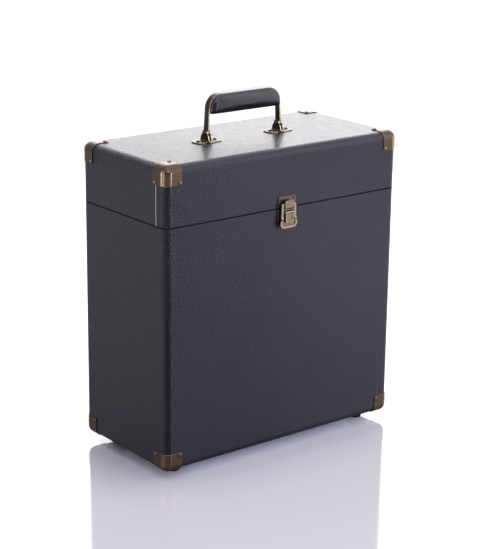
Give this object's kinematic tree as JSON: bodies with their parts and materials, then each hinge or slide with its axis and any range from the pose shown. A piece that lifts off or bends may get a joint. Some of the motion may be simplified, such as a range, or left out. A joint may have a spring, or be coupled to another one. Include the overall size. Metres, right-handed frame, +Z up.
{
  "type": "record carrying case",
  "caption": "Upright case for long-playing records: leatherette-wrapped board box with a back-hinged lid, draw latch, pressed brass corners, folding strap handle and rubber feet.",
  "frame": {"origin": "on the floor under the middle of the case's footprint", "axes": "+X to the case's right seen from its latch side, -Y towards the latch side, +Z up"},
  "size_m": [0.3524, 0.1802, 0.4308],
  "materials": {
    "plywood": "bare plywood",
    "leatherette": "fine pebble grain, satin",
    "lining": "short nap",
    "lip": "matte",
    "rubber": "matte",
    "grip_leather": "smooth, satin",
    "core": "moulded",
    "steel": "plain",
    "antique_brass": "antiqued, dark in the hollows"
  },
  "bodies": {
    "case": {"body_front_board": "plywood", "body_back_board": "plywood", "body_left_board": "plywood", "body_right_board": "plywood", "body_bottom_board": "plywood", "body_cover": "leatherette", "body_lining": "lining", "lip_front": "lip", "lip_back": "lip", "lip_left": "lip", "lip_right": "lip", "corner_bottom_front_left": "antique_brass", "corner_bottom_front_right": "antique_brass", "corner_bottom_back_left": "antique_brass", "corner_bottom_back_right": "antique_brass", "body_corner_nails": "antique_brass", "foot_front_left": "rubber", "foot_front_right": "rubber", "foot_back_left": "rubber", "foot_back_right": "rubber", "foot_screws": "steel", "latch_base": "antique_brass", "latch_base_rivets": "antique_brass", "latch_lever_pin": "antique_brass", "hinge_left_body_leaf": "antique_brass", "hinge_right_body_leaf": "antique_brass", "hinge_left_pin": "antique_brass", "hinge_right_pin": "antique_brass", "hinge_body_screws": "antique_brass"},
    "lid": {"lid_top_board": "plywood", "lid_front_board": "plywood", "lid_back_board": "plywood", "lid_left_board": "plywood", "lid_right_board": "plywood", "lid_cover": "leatherette", "lid_lining": "lining", "corner_top_front_left": "antique_brass", "corner_top_front_right": "antique_brass", "corner_top_back_left": "antique_brass", "corner_top_back_right": "antique_brass", "lid_corner_nails": "antique_brass", "latch_keeper": "antique_brass", "latch_keeper_rivets": "antique_brass", "hinge_left_lid_leaf": "antique_brass", "hinge_right_lid_leaf": "antique_brass", "hinge_lid_screws": "antique_brass", "handle_bracket_left": "antique_brass", "handle_bracket_right": "antique_brass", "bracket_screws": "antique_brass", "handle_pin_left": "antique_brass", "handle_pin_right": "antique_brass"},
    "handle": {"handle_strap": "antique_brass", "handle_core": "core", "handle_grip": "grip_leather"},
    "lever": {"latch_lever": "antique_brass", "latch_yoke_pin": "antique_brass"},
    "yoke": {"latch_yoke": "antique_brass"}
  },
  "joints": [
    {"name": "lid_hinge", "type": "hinge", "parent": "case", "child": "lid", "pos_m": [0, 0.0866, 0.3037], "axis": [-1, 0, 0], "range_deg": [0, 180]},
    {"name": "handle_fold", "type": "hinge", "parent": "lid", "child": "handle", "pos_m": [0, 0, 0.3845], "axis": [1, 0, 0], "range_deg": [-85, 85]},
    {"name": "latch_lever_pivot", "type": "hinge", "parent": "case", "child": "lever", "pos_m": [0, -0.0882, 0.2988], "axis": [-1, 0, 0], "range_deg": [0, 110]},
    {"name": "latch_yoke_pivot", "type": "hinge", "parent": "lever", "child": "yoke", "pos_m": [0, -0.0879, 0.2921], "axis": [-1, 0, 0], "range_deg": [-110, 0]}
  ],
  "couplings": [
    {"joint": "latch_yoke_pivot", "follows": "latch_lever_pivot", "ratio": -1}
  ]
}
